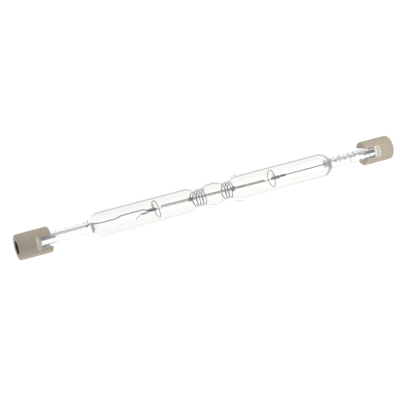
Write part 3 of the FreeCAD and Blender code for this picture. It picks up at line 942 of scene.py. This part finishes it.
def centre_support_path(turns, station):
    """A collar on the coil, then open turns that seat in the neck."""
    loop_radius = CAVITY_RADIUS - NECK_DEPTH - SUPPORT_CLEARANCE - SUPPORT_WIRE / 2
    half_loops = turns * SUPPORT_PITCH / 2
    collar_radius = COIL_RADIUS + FILAMENT_WIRE / 2 + GRIP_CLEARANCE + SUPPORT_WIRE / 2
    collar_turns = COLLAR_LENGTH / CLOSE_PITCH
    collar_end = half_loops + CLOSE_PITCH
    collar_place = station + math.copysign(collar_end + COLLAR_LENGTH / 2, station)
    collar_y = between(COIL_LIFT, (collar_place - COIL_START) / (COIL_END - COIL_START))
    collar_swing = 2 * math.pi * collar_turns
    loop_swing = collar_swing + 2 * math.pi * SPIRAL_TURNS
    collar = winding(
        (-collar_end - COLLAR_LENGTH, -collar_end),
        (collar_radius, collar_radius),
        collar_turns,
        y=(collar_y, collar_y),
    )
    spiral = winding(
        (-collar_end, -half_loops), (collar_radius, loop_radius), SPIRAL_TURNS, collar_swing, (collar_y, 0.0)
    )
    loops = winding((-half_loops, half_loops), (loop_radius, loop_radius), turns, loop_swing)
    return collar + spiral[1:] + loops[1:]


def support(name, node, path, station):
    """A support at its station, turned end for end on the right side of the lamp."""
    if station > 0.0:
        path = [Vector((-point.x, point.y, -point.z)) for point in path]
    path = [point + Vector((station, 0.0, 0.0)) for point in path]
    wire(name, node, path, SUPPORT_WIRE, SUPPORT_TUNGSTEN)


def supports():
    """A ring beyond each end of the coil and loops in each neck."""
    left_ring = end_support_path(LEFT_GRIP_LIFT, LEFT_RING_LIFT, LEFT_RING_LEAN)
    right_ring = end_support_path(RIGHT_LEAD_Y, RIGHT_RING_LIFT, RIGHT_RING_LEAN)
    left_loops = centre_support_path(LEFT_SUPPORT_TURNS, LEFT_NECK)
    right_loops = centre_support_path(RIGHT_SUPPORT_TURNS, RIGHT_NECK)
    support("left_ring_wire", "left_end_support", left_ring, LEFT_RING)
    support("right_ring_wire", "right_end_support", right_ring, RIGHT_RING)
    support("left_neck_wire", "left_centre_support", left_loops, LEFT_NECK)
    support("right_neck_wire", "right_centre_support", right_loops, RIGHT_NECK)


def straight(start, end, y):
    """Points along a straight lead."""
    return [Vector((start, y, 0.0)), Vector(((start + end) / 2, y, 0.0)), Vector((end, y, 0.0))]


def inner_leads():
    """The left lead, bent on its way to the grip, and the straight right one."""
    inset = LEAD_RADIUS * END_BULGE
    knee = -CAVITY_END + LEAD_KNEE
    bends = [
        (-LEAD_HIGH.x + inset, RIGHT_LEAD_Y),
        (-CAVITY_END, RIGHT_LEAD_Y),
        (knee, LEAD_LIFT),
        (knee + LEAD_LOW_RUN, LEAD_LIFT),
        (knee + LEAD_LOW_RUN + LEAD_STEP, LEAD_CREST),
        (LEFT_MOUTH - LEAD_FALL, LEAD_CREST),
        (LEFT_MOUTH, LEFT_GRIP_LIFT),
        (LEFT_GRIP - inset, LEFT_GRIP_LIFT),
    ]
    path = eased([Vector((x, y, 0.0)) for x, y in bends], LEAD_BEND)
    wire("left_lead_wire", "left_inner_lead", path, 2 * LEAD_RADIUS, LEAD)
    path = straight(LEAD_LOW.x + inset, LEAD_HIGH.x - inset, RIGHT_LEAD_Y)
    wire("right_lead_wire", "right_inner_lead", path, 2 * LEAD_RADIUS, LEAD)


def outer_leads():
    """A straight wire from each foil to its contact."""
    inset = OUTER_LEAD_RADIUS * END_BULGE
    for side, sign in (("left", -1.0), ("right", 1.0)):
        path = straight(sign * (OUTER_LEAD_LOW.x + inset), sign * (OUTER_LEAD_HIGH.x - inset), 0.0)
        wire(f"{side}_seal_wire", f"{side}_outer_lead", path, 2 * OUTER_LEAD_RADIUS, OUTER_LEAD)


# Finishes of the pieces that keep the frame's own shape
def dress(node, material):
    """Give a node of the frame its finish."""
    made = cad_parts[node]
    made.data.materials.clear()
    made.data.materials.append(material)


def dressed_nodes():
    """Contact, foil and cement at both ends."""
    for end in ("left", "right"):
        dress(f"{end}_contact", NICKEL)
        dress(f"{end}_foil", FOIL)
        dress(f"{end}_cement", CEMENT)


# Camera and stage
def camera_matrix():
    """The camera's place, from the lamp's axis and seal as they lie in the picture."""
    lean, rise, turn = AXIS_LEAN, AXIS_RISE, SEAL_TURN
    axis = Vector((math.cos(lean) * math.cos(rise), math.cos(lean) * math.sin(rise), -math.sin(lean)))
    across = Vector((-math.sin(rise), math.cos(rise), 0.0))
    facing = axis.cross(across)
    seal = facing * math.cos(turn) - across * math.sin(turn)
    upper = seal.cross(axis)
    to_world = Matrix((axis, upper, seal))
    shift_x = (CENTRE_PIXEL[0] - PICTURE_SIDE / 2) * CAMERA_DISTANCE / FOCAL_PIXELS
    shift_y = (PICTURE_SIDE / 2 - CENTRE_PIXEL[1]) * CAMERA_DISTANCE / FOCAL_PIXELS
    lamp_place = Vector((shift_x, shift_y, -CAMERA_DISTANCE))
    matrix = to_world.to_4x4()
    matrix.translation = -(to_world @ lamp_place)
    return matrix


def camera():
    """The camera at the picture's angle."""
    lens = bpy.data.cameras.new("camera")
    lens.sensor_width = SENSOR_WIDTH
    lens.lens = FOCAL_PIXELS / PICTURE_SIDE * SENSOR_WIDTH
    lens.clip_start = CLIP_START
    made = bpy.data.objects.new("camera", lens)
    made.matrix_world = camera_matrix()
    bpy.context.scene.collection.objects.link(made)
    bpy.context.scene.camera = made


def fade(material, distance, reach):
    """A glow that falls smoothly from 1 to 0 between two distances."""
    return value_between(material, distance, (1.0, 0.0), reach, "SMOOTHSTEP")


def table_material():
    """A table that looks plain white, and whose glow lights the glass from below."""
    material, shader = node_material("light_table")
    x = coordinate(material, "X")
    y = coordinate(material, "Y")
    back = fade(material, y, GLOW_BACK)
    front = fade(material, arithmetic(material, "MULTIPLY", y, -1.0), GLOW_FRONT)
    side = fade(material, arithmetic(material, "ABSOLUTE", x), GLOW_SIDE)
    along = value_between(material, x, GLOW_LEVELS, GLOW_SPAN)
    depthwise = arithmetic(material, "MULTIPLY", back, front)
    lengthwise = arithmetic(material, "MULTIPLY", side, along)
    glow = arithmetic(material, "MULTIPLY", depthwise, lengthwise)
    seen = add_node(material, "ShaderNodeLightPath").outputs["Is Camera Ray"]
    glow = arithmetic(material, "MAXIMUM", glow, seen)
    feed(material, shader, {
        "Base Color": FLOOR_COLOUR,
        "Roughness": 1.0,
        "Emission Color": blended(material, seen, GLOW_COLOUR, WHITE),
        "Emission Strength": value_between(material, glow, (FLOOR_DIM, FLOOR_WHITE)),
    })
    return material


def floor():
    """The table under the lamp."""
    half = FLOOR_SIZE / 2
    corners = ((-half, -half), (half, -half), (half, half), (-half, half))
    points = [Vector((x, y, -FLOOR_DROP)) for x, y in corners]
    made = mesh_object("floor", points, [(0, 1, 2, 3)], table_material())


def studio_light():
    """A soft sky, brighter at both sides of the lamp; the glass sees it dimmed behind the lamp."""
    world = bpy.data.worlds.new("studio")
    bpy.context.scene.world = world
    world.use_nodes = True
    y = coordinate(world, "Y", "Generated")
    z = coordinate(world, "Z", "Generated")
    upward = arithmetic(world, "MULTIPLY", z, math.cos(SKY_TIP))
    backward = arithmetic(world, "MULTIPLY", y, math.sin(SKY_TIP))
    height = value_between(world, arithmetic(world, "SUBTRACT", upward, backward), (0.0, 1.0), SKY_RANGE)
    glass_sky = colour_between(world, height, SKY_GREYS, (0.0, 1.0))
    matt_sky = value_between(world, arithmetic(world, "ABSOLUTE", y), SKY_LEVELS)
    ray = add_node(world, "ShaderNodeLightPath")
    sky = blended(world, ray.outputs["Is Singular Ray"], matt_sky, glass_sky)
    shown = blended(world, ray.outputs["Is Camera Ray"], sky, WHITE)
    feed(world, world.node_tree.nodes["Background"], {"Color": shown})
    bpy.context.scene.view_settings.view_transform = "Standard"


def soft_box(name, place, aim, power):
    """A soft light kept out of reflections."""
    lamp = bpy.data.lights.new(name, "AREA")
    lamp.shape = "RECTANGLE"
    lamp.size = BOX_LENGTH
    lamp.size_y = BOX_HEIGHT
    lamp.energy = power
    made = bpy.data.objects.new(name, lamp)
    place = Vector(place)
    facing = (Vector(aim) - place).to_track_quat("-Z", "Y")
    made.matrix_world = Matrix.Translation(place) @ facing.to_matrix().to_4x4()
    made.visible_camera = False
    made.visible_glossy = False
    made.visible_transmission = False
    bpy.context.scene.collection.objects.link(made)


def light_paths():
    """Enough bounces for the light that the thick seals hold inside."""
    paths = bpy.context.scene.cycles
    paths.max_bounces = LIGHT_BOUNCES
    paths.glossy_bounces = LIGHT_BOUNCES
    paths.transmission_bounces = LIGHT_BOUNCES


quartz_envelope()
caps()
filament()
supports()
inner_leads()
outer_leads()
dressed_nodes()
camera()
floor()
studio_light()
soft_box("right_box", RIGHT_BOX_PLACE, RIGHT_AIM, RIGHT_BOX_POWER)
soft_box("back_box", BACK_BOX_PLACE, LEFT_AIM, BACK_BOX_POWER)
soft_box("front_box", FRONT_BOX_PLACE, LEFT_AIM, FRONT_BOX_POWER)
light_paths()
